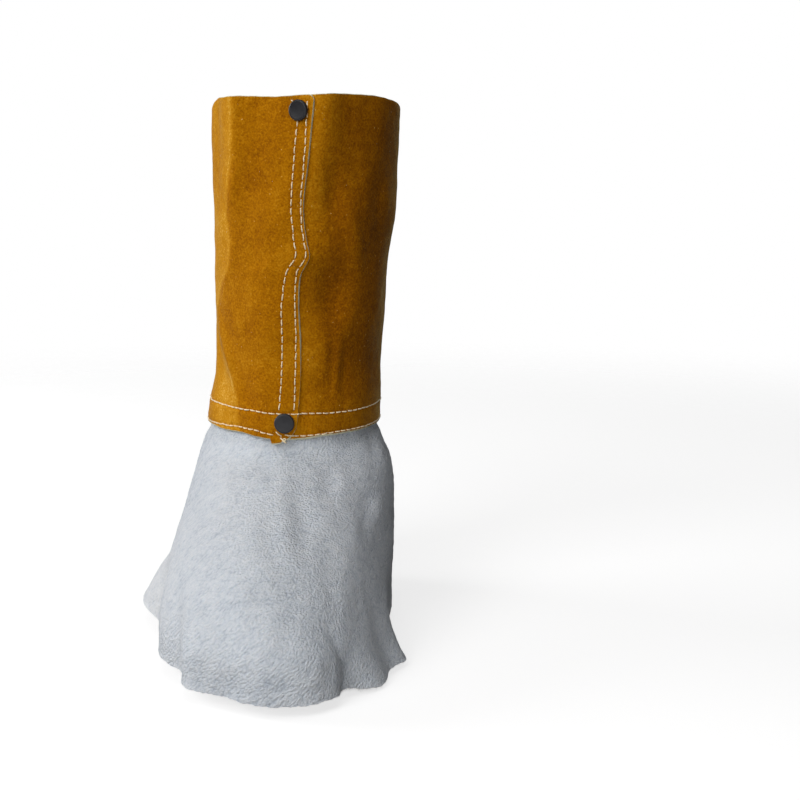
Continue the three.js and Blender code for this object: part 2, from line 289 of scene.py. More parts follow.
def makeGreySuede():
    material, tree, shader, place = startMaterial("greySuede")
    look = greyLook
    slanted = addNode(tree, "ShaderNodeMapping", {
        "Vector": place, "Rotation": look["slant"], "Scale": look["stretch"]}, vector_type="TEXTURE")
    fibres = slanted.outputs["Vector"]
    sockets = {name: noise(tree, fibres, *grain) for name, grain in look["fibreGrains"].items()}
    sockets["patches"] = noise(tree, place, *look["patches"])
    # the flap's painted light and shade, with its worn hem, from the mesh
    sockets["wearAndPaintedLight"] = wearAndPaintedLightSocket(tree)
    # rounded clumps of fibre with dark pits where they meet
    cells = addNode(tree, "ShaderNodeTexVoronoi", {"Vector": fibres, "Scale": look["pitScale"]}, feature="F1")
    pits = addNode(tree, "ShaderNodeMath", {0: 1.0, 1: cells.outputs["Distance"]}, operation="SUBTRACT")
    sockets["pits"] = pits.outputs[0]
    tone = weighted(tree, look["base"], sockets, look["tone"])
    tree.links.new(ramp(tree, tone, look["stops"]), shader.inputs["Base Color"])
    bumped(tree, shader, weighted(tree, midTone, sockets, look["height"]), *look["bump"])
    setSockets(shader, look["sockets"])
    return material


fibreLook = {
    # colour stops, scale of the strands per metre, bump strength and distance
    "kinds": {
        "goldCore": ([(0.15, (0.44, 0.41, 0.24)), (0.5, (0.70, 0.69, 0.48)), (0.9, (0.86, 0.86, 0.66))],
                     900, (0.6, 0.0005)),
        "greyCore": ([(0.15, (0.36, 0.36, 0.35)), (0.5, (0.58, 0.58, 0.565)), (0.9, (0.78, 0.77, 0.74))],
                     800, (0.6, 0.0006)),
        "creamThread": ([(0.1, (0.62, 0.46, 0.24)), (0.5, (0.93, 0.78, 0.52)), (0.9, (0.98, 0.92, 0.74))],
                        1400, (0.4, 0.0003)),
        "paleLint": ([(0.1, (0.55, 0.44, 0.24)), (0.9, (0.85, 0.76, 0.55))], 900, (0.2, 0.0002)),
    },
    "strands": (4, 0.65),  # detail, roughness
    "broad": (3, 0.5),
    "broadScale": 0.12,  # of the strands' scale
    "tone": {"strands": 0.9, "broad": 0.5},
    "sockets": {"Roughness": 0.95, "Sheen Weight": 0.15, "Sheen Roughness": 0.5, "Specular IOR Level": 0.08},
}


def makeFibrous(name, stops, scale, bump):
    material, tree, shader, place = startMaterial(name)
    look = fibreLook
    sockets = {"strands": noise(tree, place, scale, *look["strands"]),
               "broad": noise(tree, place, scale * look["broadScale"], *look["broad"])}
    tone = weighted(tree, midTone, sockets, look["tone"])
    tree.links.new(ramp(tree, tone, stops), shader.inputs["Base Color"])
    bumped(tree, shader, sockets["strands"], *bump)
    setSockets(shader, look["sockets"])
    return material


capLook = {
    "stops": [(0.0, (0.009, 0.009, 0.011)), (1.0, (0.055, 0.054, 0.06))],  # unworn, worn; painted shade and painted light on each cap move it between them
    "grains": {"fine": (1500, 3, 0.5), "broad": (180, 3, 0.5)},
    "base": 0.25,
    "tone": {"broad": 0.5, "wearAndPaintedLight": 0.12},
    "roughness": (0.34, 0.44),
    "bump": (0.12, 0.0002),
    "sockets": {"Specular IOR Level": 0.24},
}


def makeCapEnamel():
    material, tree, shader, place = startMaterial("blackEnamel")
    look = capLook
    sockets = {name: noise(tree, place, *grain) for name, grain in look["grains"].items()}
    # each cap's worn edge and painted tone, from the mesh
    sockets["wearAndPaintedLight"] = wearAndPaintedLightSocket(tree)
    tone = weighted(tree, look["base"], sockets, look["tone"])
    tree.links.new(ramp(tree, tone, look["stops"]), shader.inputs["Base Color"])
    low, high = look["roughness"]
    satin = addNode(tree, "ShaderNodeMapRange", {"Value": sockets["fine"], "To Min": low, "To Max": high})
    tree.links.new(satin.outputs["Result"], shader.inputs["Roughness"])
    bumped(tree, shader, sockets["fine"], *look["bump"])
    setSockets(shader, look["sockets"])
    return material


goldSuede = makeGoldSuede()
greySuede = makeGreySuede()
goldCore, greyCore, creamThread, paleLint = (
    makeFibrous(name, *kind) for name, kind in fibreLook["kinds"].items())
blackEnamel = makeCapEnamel()
print("materials made:", len(bpy.data.materials))


# Cuff: the leather runs from the lap's free edge (arc 0) once round the leg and on under itself
cuffShape = {
    "height": 208,
    "wall": 1.6,
    "gap": 0.3,
    "lap": 17,
    "lapRamp": 24,
    "lapRadius": 65,
    "rimCorner": (4, 4),  # arc, height
    "hemCorner": (8, 12),
    "tongue": {"start": 8.6, "end": 15.4, "drop": 3.0, "slope": 0.16, "slant": 2.0, "cut": 0.7},
    "slant": (0.85, 122, 20, 25, 35),  # of the lap's edge: size, upper end and fade, lower end and fade
    # angle, spread, rise
    "rimWaves": [(36, 26, 1.8), (-38, 16, 1.2), (-62, 10, 2.0), (-97, 18.5, -14.0), (92, 20, -3.5)],
    "hemWaves": [(0, 16, -1.8), (-30, 12, 0.9), (-62, 16, 1.2)],
    # size, rate along the edge, start
    "rimWaver": [(0.1, 0.21, 0), (0.06, 0.63, 2)],
    "hemWaver": [(0.07, 0.9, 0), (0.08, 0.37, 1)],
    "hemWaverStart": (9, 6),  # arc, and how far it takes to set in
    # height, lean, then the distance out at front, front right, right ... front left
    "sections": np.array([
        [-20, -1.0, 66, 62, 58.0, 60, 62, 60, 58.5, 60.0],
        [8, -0.2, 66, 62, 57.6, 60, 62, 60, 57.5, 60.0],
        [38, 2.4, 64, 60, 55.6, 58, 60, 58, 54.2, 58.4],
        [70, 4.2, 64, 60, 56.4, 58, 60, 58, 54.8, 59.3],
        [110, 5.7, 64, 61, 58.2, 59, 60, 59, 55.5, 60.0],
        [140, 6.6, 64, 64, 61.4, 60, 60, 59, 57.0, 61.5],
        [165, 7.3, 65, 65, 61.8, 60, 60, 60, 58.0, 62.0],
        [212, 9.1, 66, 66, 62.6, 61, 60, 61, 59.5, 63.5],
    ]),
    # height, and how far right of the front the lap's free edge lies
    "lapEdge": np.array([
        [0, 7.0], [14, 7.3], [33, 7.4], [58, 6.8], [86, 4.9], [101, 5.8],
        [112, 10.6], [121, 8.5], [140, 6.0], [167, 8.0], [208, 10.5],
    ]),
    # angle, height, spread, spread in height, out, degrees the crest moves per mm of height
    "folds": [
        (-17, 205, 18, 62, -5.0, 0),  # flat left panel
        (-38.5, 203, 8, 68, 1.4, 0),  # its corner, a crest that wanders down the outer side
        (-38, 190, 4, 36, 1.0, 0),
        (-41, 148, 4, 12, 0.9, 0.12),
        (-41, 119, 4, 13, 0.9, 0),
        (-46.5, 100, 4, 11, 0.9, 0.42),
        (-61, 190, 11, 62, -3.0, 0),  # flat strip behind the crest
        (13.5, 206, 10.5, 46, 6.6, 0),  # prow beside the upper cap
        (4, 112, 15, 10, 1.6, 0),  # buckle at the kink
        (21, 88, 12, 18, -4.0, 0),  # hollow below the kink
        (21, 152, 6, 18, -2.2, -0.05),
        (36, 122, 7, 24, 2.6, -0.25),  # slanting ridge right of the kink
        (33, 66, 8, 22, 1.4, 0),
        (-48, 30, 16, 14, -1.6, 0),  # slack over the ankle
        (-44.5, 46, 5, 24, 1.9, -0.55),
        (-60, 46, 9, 26, -1.9, -0.45),
        (-25, 27, 6, 9, -1.2, -0.45),
        (60, 44, 18, 14, -1.6, 0),
        (24, 44, 3.2, 18, -0.8, 0),
        (28.5, 46, 3, 18, 0.8, 0),
        (33, 42, 3.2, 18, -0.7, 0),
        (55, 150, 9, 34, -1.4, 0.1),
        (-120, 40, 18, 10, -3.0, 0),
        (128, 58, 20, 11, -2.6, 0),
        (178, 120, 14, 40, 1.4, 0.1),
        (-150, 140, 12, 30, -1.3, -0.15),
        (110, 130, 12, 26, -1.2, 0.2),
    ],
    "unevenness": [(46, 0.55), (17, 0.22), (7, 0.07)],  # wavelength, height
    "columns": [(18, 0.5), (60, 1.25), (398, 1.9)],  # arc, and the grid's step up to there
    "rows": [(20, 0.72), (199, 1.85)],  # height, and the step up to there
    "lastSteps": (2.3, 0.9),  # from there to the ends of the leather
    # for each edge, how far the outside and the inside stop short, and how round it is
    "cuts": {"uStart": (0.15, 0.0, 0.1), "uEnd": (0.2, 0.0, 0.2),
             "vStart": (1.1, 0.0, 0.2), "vEnd": (0.2, 0.0, 0.3)},
    "edgeBand": 5.0,  # how far in from an edge its cut is felt
}
cuffArc = cuffShape["lapRadius"] * turn + cuffShape["lap"]

stitchLook = {
    # height, then how far each row lies in from the lap's free edge
    "lapRows": np.array([
        [0, 3.1, 11.8], [18, 2.8, 11.8], [40, 3.6, 11.9], [60, 3.4, 11.8], [86, 2.95, 10.9], [98, 3.1, 9.8],
        [107, 4.0, 10.2], [115, 2.4, 8.2], [138, 1.6, 7.3], [160, 2.0, 7.9], [176, 2.3, 8.2], [190, 2.8, 8.0],
        [200, 3.0, 8.0], [208, 3.9, 8.0],
    ]),
    "lapStart": 17.5,
    "lapEnds": (205.0, 198.5),
    "lapPitch": 5.2,
    # angle, then the height of the lower and the upper row
    "hemRows": np.array([
        [-180, 3.2, 16.5], [-90, 3.2, 16.8], [-60, 3.6, 16.9], [-49, 4.2, 16.8], [-20, 4.9, 16.6],
        [-7, 2.6, 15.65], [0, 1.7, 15.5], [9, 1.2, 15.3], [20, 1.5, 14.8], [25, 1.95, 14.6],
        [60, 2.4, 14.8], [120, 2.8, 15.6], [180, 3.2, 16.5],
    ]),
    "hemHoles": ((3, 89), (1, 88)),  # first and last hole of each row, counted from the lap's free edge
    "hemPitch": 4.6205,
    "crossing": 0.9,  # last hole of the upper hem row on the outer layer
    "thread": 0.39,  # radius
    "ply": (2.2, 0.2, 0.86),  # half turns in a stitch, how far the two plies swell, flattening
    "tube": (11, 8),  # rings, sides
    "dive": 2.7,  # how steeply a stitch leaves its holes
    "holeDepth": 0.75,
    "proud": (0.42, -0.1, 0.12),  # height over the leather, and what may be added to it
    "stray": (0.12, 0.2),  # how far its middle and its ends lie off the row
    "groove": (0.26, 1.5),  # depth and width of the pull along a row
    "hole": (0.4, 0.75),
    "ridges": (0.1, 2.6, 1.2),  # height, how far beside the row, width
    "lapFade": (2, 3),  # how far past its ends a lap row pulls, and over what length that fades
    "hemFade": (0.5, 4, 2),  # for the hem rows: start, how far past the lap's foot, length
}


def cornerCut(arc, corner):
    short = np.maximum(corner[0] - arc, 0) / corner[0]
    return corner[1] * (1 - np.sqrt(1 - np.minimum(short, 1) ** 2))


def lapEdgeAngle(z):
    edge = cuffShape["lapEdge"]
    return curveThrough(edge[:, 0], edge[:, 1], z) / cuffShape["lapRadius"]


def cuffAngle(arc, z):
    return lapEdgeAngle(z) + turn - arc / cuffShape["lapRadius"]


def cuffPoint(angle, z, lift):
    sections = cuffShape["sections"]
    across = curveThrough(sections[:, 0], sections[:, 2:], z)
    ways = across.shape[-1]
    place = (angle % turn) / turn * ways
    i = np.floor(place).astype(int)
    s = place - i
    before, here, after, beyond = (
        np.take_along_axis(across, ((i + k) % ways)[..., None], -1)[..., 0] for k in (-1, 0, 1, 2))
    bend = 2 * before - 5 * here + 4 * after - beyond
    twist = 3 * here - before - 3 * after + beyond
    reach = here + 0.5 * s * (after - before + s * (bend + s * twist))
    reach = reach + foldRelief(cuffShape["folds"], angle, z) + lift
    lean = curveThrough(sections[:, 0], sections[:, 1], z)
    return np.stack([lean + reach * np.sin(angle), -reach * np.cos(angle), z], -1)


def lapLift(arc):
    lifted = cuffShape["wall"] + cuffShape["gap"]
    return lifted * (1 - smooth((arc - cuffShape["lap"]) / cuffShape["lapRamp"]))


def lapRowArc(k, z):
    rows = stitchLook["lapRows"]
    return curveThrough(rows[:, 0], rows[:, 1 + k], z)


def hemRowHeight(k, arc):
    rows = stitchLook["hemRows"]
    return curveThrough(rows[:, 0], rows[:, 1 + k], turnFrom(cuffAngle(arc, 0), 0))


# a row of stitches pulls the leather down, most of all at its holes, and raises it a little on both sides
def sewnDip(beside, along, pitch):
    look = stitchLook
    depth, width = look["groove"]
    holeDepth, holeWidth = look["hole"]
    ridge, away, ridgeWidth = look["ridges"]
    phase = along / pitch
    nearHole = bell((phase - np.round(phase)) * pitch / holeWidth)
    pulled = depth * bell(beside / width) + holeDepth * bell(beside / holeWidth) * nearHole
    raised = ridge * (bell((beside - away) / ridgeWidth) + bell((beside + away) / ridgeWidth))
    return raised - pulled


def stitchPull(arc, z):
    look = stitchLook
    total = np.zeros(np.broadcast(arc, z).shape)
    past, fade = look["lapFade"]
    for k, end in enumerate(look["lapEnds"]):
        onLap = smooth((z - look["lapStart"] + past) / fade) * smooth((end + past - z) / fade)
        total += onLap * sewnDip(arc - lapRowArc(k, z), z - look["lapStart"], look["lapPitch"])
    start, past, fade = look["hemFade"]
    end = cuffArc - cuffShape["lap"] + past
    outside = smooth((arc - start) / fade) * smooth((end - arc) / fade)
    for k in range(2):
        total += outside * sewnDip(z - hemRowHeight(k, arc), arc, look["hemPitch"])
    return total


# follows the angle, so that the outer end and the layers under it move together
def cuffUneven(angle, z):
    radius = 60
    steady = np.stack([radius * np.sin(angle), -radius * np.cos(angle), z], -1)
    return unevenness(cuffShape["unevenness"], steady, seed=11)


def leatherPoint(arc, z):
    angle = cuffAngle(arc, z)
    return cuffPoint(angle, z, lapLift(arc) + stitchPull(arc, z) + cuffUneven(angle, z))


def leatherFrame(arc, z):
    reach = 0.6
    point = leatherPoint(arc, z)
    along = unit(leatherPoint(arc + reach, z) - leatherPoint(arc - reach, z))
    up = unit(leatherPoint(arc, z + reach) - leatherPoint(arc, z - reach))
    return point, along, up, unit(np.cross(up, along))


def hemHeight(arc):
    scrap = cuffShape["tongue"]
    drop = scrap["drop"] - scrap["slope"] * np.clip(scrap["end"] - arc, 0, scrap["end"] - scrap["start"])
    drop = drop * smooth((scrap["end"] - arc) / scrap["cut"] + 0.5)
    drop = drop * smooth((arc - scrap["start"]) / scrap["slant"] + 0.5)
    start, over = cuffShape["hemWaverStart"]
    wavy = waver(cuffShape["hemWaver"], arc) * smooth((arc - start) / over)
    waves = angleWaves(cuffShape["hemWaves"], cuffAngle(arc, 0))
    return cornerCut(arc, cuffShape["hemCorner"]) - drop + waves + wavy


def rimHeight(arc):
    high = cuffShape["height"]
    waves = angleWaves(cuffShape["rimWaves"], cuffAngle(arc, high))
    return high - cornerCut(arc, cuffShape["rimCorner"]) + waves + waver(cuffShape["rimWaver"], arc)


# a closed sheet of leather from a grid on its outside, with us along the columns and vs up the rows
# slant adds to the outside's cut at the first column, by row
def leatherSheet(name, surface, us, vs, shape, materials, wearAndPaintedLight, slant=None):
    wall, cuts, band = shape["wall"], shape["cuts"], shape["edgeBand"]
    layers = 4
    crispFrom = 0.75  # radians between faces, keeps the raw edges crisp

    def drawnIn(places, depth, startCut, endCut):
        def inset(cut):
            outer, inner, rounding = cut
            swell = 1 - math.sqrt(max(0, 1 - (2 * depth - 1) ** 2))
            return outer + (inner - outer) * depth + rounding * swell
        fromStart = np.maximum(0, 1 - (places - places[0]) / band)
        fromEnd = np.maximum(0, 1 - (places[-1] - places) / band)
        return places + inset(startCut) * fromStart - inset(endCut) * fromEnd

    def gridAt(depth):
        columns = drawnIn(us, depth, cuts["uStart"], cuts["uEnd"])
        rows = drawnIn(vs, depth, cuts["vStart"], cuts["vEnd"])
        u, v = np.meshgrid(columns, rows, indexing="ij")
        if slant is not None:
            u = u + slant(v) * (1 - depth) * np.maximum(0, 1 - (u - us[0]) / band)
        outside = surface(u, v)
        normal = unit(np.cross(np.gradient(outside, axis=1), np.gradient(outside, axis=0)))
        return outside - normal * wall * depth, u, v

    count, height = len(us), len(vs)
    outer, u, v = gridAt(0.0)
    inner, innerU, innerV = gridAt(1.0)
    loop = [(i, 0) for i in range(count)] + [(count - 1, j) for j in range(1, height)]
    loop += [(i, height - 1) for i in range(count - 2, -1, -1)] + [(0, j) for j in range(height - 2, 0, -1)]
    ring = np.array([i * height + j for i, j in loop])
    between = [gridAt(k / layers)[0].reshape(-1, 3)[ring] for k in range(1, layers)]
    size = count * height
    points = np.concatenate([outer.reshape(-1, 3), inner.reshape(-1, 3), *between])
    i, j = np.meshgrid(np.arange(count - 1), np.arange(height - 1), indexing="ij")
    low = (i * height + j).ravel()
    side = np.stack([low, low + 1, low + height + 1, low + height], -1)
    back = np.stack([low, low + height, low + height + 1, low + 1], -1) + size
    within = [2 * size + k * len(ring) + np.arange(len(ring)) for k in range(layers - 1)]
    starts = [ring, *within, ring + size]
    bands = []
    for first, second in zip(starts, starts[1:]):
        bands.append(np.stack([first, np.roll(first, -1), np.roll(second, -1), second], -1))
    faces = np.concatenate([side, back, *bands])
    kinds = np.concatenate([np.zeros(2 * len(side), int), np.ones(len(faces) - 2 * len(side), int)])
    wearAndPaintedLightValues = np.concatenate([wearAndPaintedLight(u, v).ravel(), wearAndPaintedLight(innerU, innerV).ravel(), np.zeros(len(points) - 2 * size)])
    obj = meshObject(name, points * mm, faces.tolist(), materials, kinds, wearAndPaintedLightValues)
    obj.data.set_sharp_from_angle(angle=crispFrom)
    print(f"{name}: {count} x {height} grid, {2 * len(faces)} triangles")
    return obj


def cuffHeightAt(arc, share):
    low = hemHeight(arc)
    return low + (rimHeight(arc) - low) * share / cuffShape["height"]


def cuffSurface(arc, share):
    return leatherPoint(arc, cuffHeightAt(arc, share))


# the cuff's painted light and shade, and its worn edges: paler above 0, darker below
cuffWearAndPaintedLight = {
    "folds": (0.045, 0.14),  # painted highlight where a fold stands out, painted shade in its hollow: tone for each mm that a fold stands out, and its limit
    # height and angle of the crest line down the outer side
    "crestLine": np.array([
        [0, -28], [23, -32], [37, -42], [45, -48], [53, -63], [62, -68], [80, -62], [91, -57], [100, -48],
        [107, -43], [122, -42.5], [138, -45.5], [164, -41], [172, -38.5], [212, -38.5],
    ]),
    "outerSide": (0.34, 4, 60, 40),  # painted highlight: tone behind that line, its start's fade, its end, its end's fade
    "crest": (0.12, 1.5, 2),  # painted highlight: tone on the line, degrees behind it, spread
    "ankle": (0.24, -52, 14, 26, 20),  # painted highlight on the fold over the ankle: tone, angle, spread, height, spread in height
    "innerSide": (-0.32, 9, 19, 170, 40),  # painted shade on the inner side: tone, starting angle and its fade, end angle and its fade
    "innerHem": (0.9, 5, 16),  # share of that painted shade that the hem is spared, height, spread
    "lapEdge": (0.16, 1.2),  # tone, spread
    "rim": (0.14, 1.6),
    "hem": (0.1, 1.4),
    "stitches": 0.3,  # painted shade in the stitch grooves: tone for each mm that they pull the leather down
}


# paints light and shade into the cuff's tone on its folds, outer strip, inner side and stitch grooves, and
# adds its worn edges
def paintCuffWearAndLight(arc, share):
    paintedTone = cuffWearAndPaintedLight
    z = cuffHeightAt(arc, share)
    angle = cuffAngle(arc, z)
    side = turnFrom(angle, 0)
    rate, most = paintedTone["folds"]
    wearAndPaintedLight = np.clip(rate * foldRelief(cuffShape["folds"], angle, z), -most, most)
    line = paintedTone["crestLine"]
    behind = np.interp(z, line[:, 0], line[:, 1]) - side
    tone, start, end, fade = paintedTone["outerSide"]
    wearAndPaintedLight += tone * smooth(behind / start + 0.5) * smooth((end - behind) / fade)
    tone, at, spread = paintedTone["crest"]
    wearAndPaintedLight += tone * bell((behind - at) / spread)
    tone, at, spread, height, spreadUp = paintedTone["ankle"]
    wearAndPaintedLight += tone * bell(turnFrom(angle, at) / spread) * bell((z - height) / spreadUp)
    tone, start, startFade, end, endFade = paintedTone["innerSide"]
    inner = smooth((side - start) / startFade) * smooth((end - side) / endFade)
    spared, height, spreadUp = paintedTone["innerHem"]
    wearAndPaintedLight += tone * inner * (1 - spared * bell((z - height) / spreadUp))
    for edge, away in (("lapEdge", arc), ("rim", share - cuffShape["height"]), ("hem", share)):
        tone, spread = paintedTone[edge]
        wearAndPaintedLight += tone * bell(away / spread)
    return wearAndPaintedLight + paintedTone["stitches"] * np.minimum(stitchPull(arc, z), 0)


# the lap's raw edge is cut on a slant from the kink down to the ankle
def lapSlant(share):
    size, kink, kinkFade, ankle, ankleFade = cuffShape["slant"]
    return size * smooth((kink - share) / kinkFade) * smooth((share - ankle) / ankleFade)


lastColumn, lastRow = cuffShape["lastSteps"]
cuffColumns = stepped(cuffShape["columns"] + [(cuffArc, lastColumn)])
cuffRows = stepped(cuffShape["rows"] + [(cuffShape["height"], lastRow)])
cuff = leatherSheet("cuffLeather", cuffSurface, cuffColumns, cuffRows, cuffShape, [goldSuede, goldCore],
                    paintCuffWearAndLight, slant=lapSlant)


# Flap: rings from the cuff's hem down to the ruffled raw edge
flapShape = {
    "wall": 2.0,
    "tuck": 20,
    "pulledIn": 0.4,  # kept clear of the stitched cuff
    "rear": (168, 150),  # degrees each side at the tucked edge and at the hem
    "ankle": (0.13, -2.5),  # share, height
    "break": (0.18, -9, 1.6, 3.4),  # share, height, out at the front and at the sides
    # share, middle x and y, reach left, right, front, rear, squareness, height front, left, right, rear
    "rings": [
        [0.36, -1, -14, 66, 66.5, 86, 74, 2.1, -26, -38, -29, -36],
        [0.66, -2, -36, 73, 68.5, 130, 88, 2.2, -58, -72, -70, -70],
        [0.88, 2, -50, 77, 65, 152, 98, 2.3, -91, -95, -100, -92],
        [1.0, 3, -54, 78, 65, 154, 102, 2.3, -114.5, -108, -117, -106],
    ],
    # angle, spread, out and down at the hem, share where it starts
    "ruffles": [
        (-122, 12, -5, 0, 0.55), (-94, 15, 22, 0, 0.7), (-72, 8, -4, 0, 0.6), (-58, 9, 4.2, 0, 0.6),
        (-43, 5, -4, 0, 0.72), (-33, 7, 3, 0, 0.7), (-17, 8, -4.5, 0, 0.6), (8, 14, 3.5, 0, 0.55),
        (27, 5, 2.5, 0, 0.85), (35, 5, -4, 0, 0.85), (47, 9, 10.5, 3.5, 0.83), (63, 6.5, 13.5, 1, 0.8),
        (80, 10, -6, 0, 0.75), (102, 12, -2, 0, 0.6), (124, 11, -4, 0, 0.6),
        (-6, 3, -1.2, 0, 0.8), (5, 3, -1.0, 0, 0.82), (18, 6, 1.4, 0, 0.74),
    ],
    # angle, share, spread, spread in share, out along the normal, degrees the crest moves per share
    "dents": [
        (12, 0.47, 6, 0.09, -1.5, 22),
        (4, 0.42, 6, 0.16, 1.0, 20),
        (25, 0.32, 5, 0.07, -1.1, 15),
        (33, 0.36, 6, 0.08, 1.0, 15),
        (50, 0.43, 12, 0.07, -2.0, 0),
        (30, 0.88, 2.6, 0.07, -1.1, 68),
        (-30, 0.36, 13, 0.10, 0.7, 0),
        (-52, 0.42, 10, 0.09, -0.9, 20),
        (-8, 0.62, 10, 0.12, 0.8, 0),
        (38, 0.62, 9, 0.12, 1.2, 0),
        (-20, 0.75, 12, 0.10, -0.9, 0),
        (-27, 0.95, 4, 0.06, -1.2, 0),
        (-11, 0.95, 4, 0.06, -1.3, 0),
        (130, 0.5, 12, 0.12, -1.6, 0), (-135, 0.55, 12, 0.12, 1.5, 0), (100, 0.7, 10, 0.12, 1.4, 0),
    ],
    "unevenness": [(40, 0.45), (15, 0.2), (6, 0.12)],
    "length": 190,  # tucked edge to hem, about
    "free": (0.13, 0.1),  # share where dents and unevenness start, and over how much
    "hemJag": [(0.18, 171, 0), (0.15, 433, 1), (0.12, 77, 0)],  # size, rate round the hem, start
    "hemJagStart": (0.93, 0.07),
    "columns": 300,
    "rows": [(0.12, 0.02), (0.2, 0.008), (0.9, 0.0072), (1.0, 0.005)],  # share, and the step up to there
    # edges as for the cuff, in thousandths of the flap
    "cuts": {"uStart": (1.0, 0.0, 2.0), "uEnd": (1.0, 0.0, 2.0),
             "vStart": (0.0, 4.0, 2.0), "vEnd": (0.5, 0.0, 0.5)},
    "edgeBand": 25.0,
}


def ringPoint(ring, angle):
    way, x, y, left, right, front, rear, square, zFront, zLeft, zRight, zRear = ring
    s, c = np.sin(angle), np.cos(angle)
    across = np.where(s < 0, left, right)
    along = np.where(c > 0, front, rear)
    outX, outY = s / across, -c / along
    size = np.hypot(outX, outY)
    ruffle, drop = 0.0, 0.0
    for at, spread, out, down, start in flapShape["ruffles"]:
        share = bell(turnFrom(angle, at) / spread) * smooth((way - start) / (1 - start))
        ruffle = ruffle + out * share
        drop = drop + down * share
    return np.stack([
        x + across * np.sign(s) * np.abs(s) ** (2 / square) + ruffle * outX / size,
        y - along * np.sign(c) * np.abs(c) ** (2 / square) + ruffle * outY / size,
        np.where(c > 0, zFront, zRear) * c * c + np.where(s < 0, zLeft, zRight) * s * s - drop,
    ], -1)


# cubic through the rings of each column, with one share of the way per point
def flapBase(angle, way):
    inside = -(cuffShape["wall"] + cuffShape["gap"] + flapShape["pulledIn"])
    breakWay, breakZ, frontOut, sideOut = flapShape["break"]
    breakOut = frontOut + (sideOut - frontOut) * np.sin(angle) ** 2
    ankleWay, ankleZ = flapShape["ankle"]
    places = np.array([0, ankleWay, breakWay] + [ring[0] for ring in flapShape["rings"]])
    level = np.ones(angle.shape)
    stations = []
    for z, out in ((flapShape["tuck"], 0.0), (ankleZ, 0.0), (breakZ, breakOut)):
        stations.append(cuffPoint(angle, z * level, inside + out + cuffUneven(angle, z * level)))
    stations = np.stack(stations + [ringPoint(ring, angle) for ring in flapShape["rings"]])
    spans = np.diff(places)
    slope = middleSlopes(np.diff(stations, axis=0) / spans.reshape((-1,) + (1,) * (angle.ndim + 1)))
    i = np.clip(np.searchsorted(places, way, side="left") - 1, 0, len(spans) - 1)

    def pick(rows, k):
        return np.take_along_axis(rows, k[None, ..., None], 0)[0]

    s = np.clip((way - places[i]) / spans[i], 0, 1)[..., None]
    return cubicBetween(pick(stations, i), pick(stations, i + 1), pick(slope, i), pick(slope, i + 1),
                        spans[i][..., None], s)


def flapAngle(share, way):
    top, hem = flapShape["rear"]
    return share * np.radians(top + (hem - top) * way)


gridUnit = 1000  # the flap's grid counts in thousandths


# columns run round the leg from its inner side, rows from the hem up
def flapPlace(column, row):
    return 1 - column / gridUnit, 1 - row / gridUnit


def flapSurface(column, row):
    share, way = flapPlace(column, row)
    angle = flapAngle(share, way)
    start, over = flapShape["hemJagStart"]
    jag = waver(flapShape["hemJag"], share) / flapShape["length"]
    way = way + jag * smooth((way - start) / over)
    base = flapBase(angle, np.minimum(way, 1))
    # past the last ring it runs straight on
    past = np.maximum(way - 1, 0)[..., None]
    reach = 0.02
    hem = flapBase(angle, np.ones(way.shape))
    base = base + past * (hem - flapBase(angle, np.full(way.shape, 1 - reach))) / reach
    normal = unit(np.cross(np.gradient(base, axis=1), np.gradient(base, axis=0)))
    start, over = flapShape["free"]
    relief = foldRelief(flapShape["dents"], angle, way) + unevenness(flapShape["unevenness"], base, seed=31)
    return base + normal * (relief * smooth((way - start) / over))[..., None]


# the flap's painted light and shade, and its worn hem: paler above 0, darker below
flapWearAndPaintedLight = {
    "dents": (0.04, -0.12, 0.1),  # painted highlight where a dent stands out, painted shade where it sinks: tone for each mm that a dent stands out, and its limits
    "hem": (0.08, 0.012),  # tone, spread
    "wing": (0.55, -92, 34, 0.3, 0.4),  # painted light on the wing: tone, angle, spread, share where it starts, and over how much
}


# paints light and shade into the flap's tone on its dents and its wing, and adds its worn hem
def paintFlapWearAndLight(column, row):
    share, way = flapPlace(column, row)
    angle = flapAngle(share, way)
    rate, least, most = flapWearAndPaintedLight["dents"]
    wearAndPaintedLight = np.clip(rate * foldRelief(flapShape["dents"], angle, way), least, most)
    tone, spread = flapWearAndPaintedLight["hem"]
    wearAndPaintedLight += tone * bell((way - 1) / spread)
    tone, at, spread, start, over = flapWearAndPaintedLight["wing"]
    return wearAndPaintedLight + tone * bell(turnFrom(angle, at) / spread) * smooth((way - start) / over)


flapRows = gridUnit * (1 - stepped(flapShape["rows"])[::-1])
flapColumns = np.linspace(0, 2 * gridUnit, flapShape["columns"] + 1)
flap = leatherSheet("flapLeather", flapSurface, flapColumns, flapRows, flapShape, [greySuede, greyCore],
                    paintFlapWearAndLight)


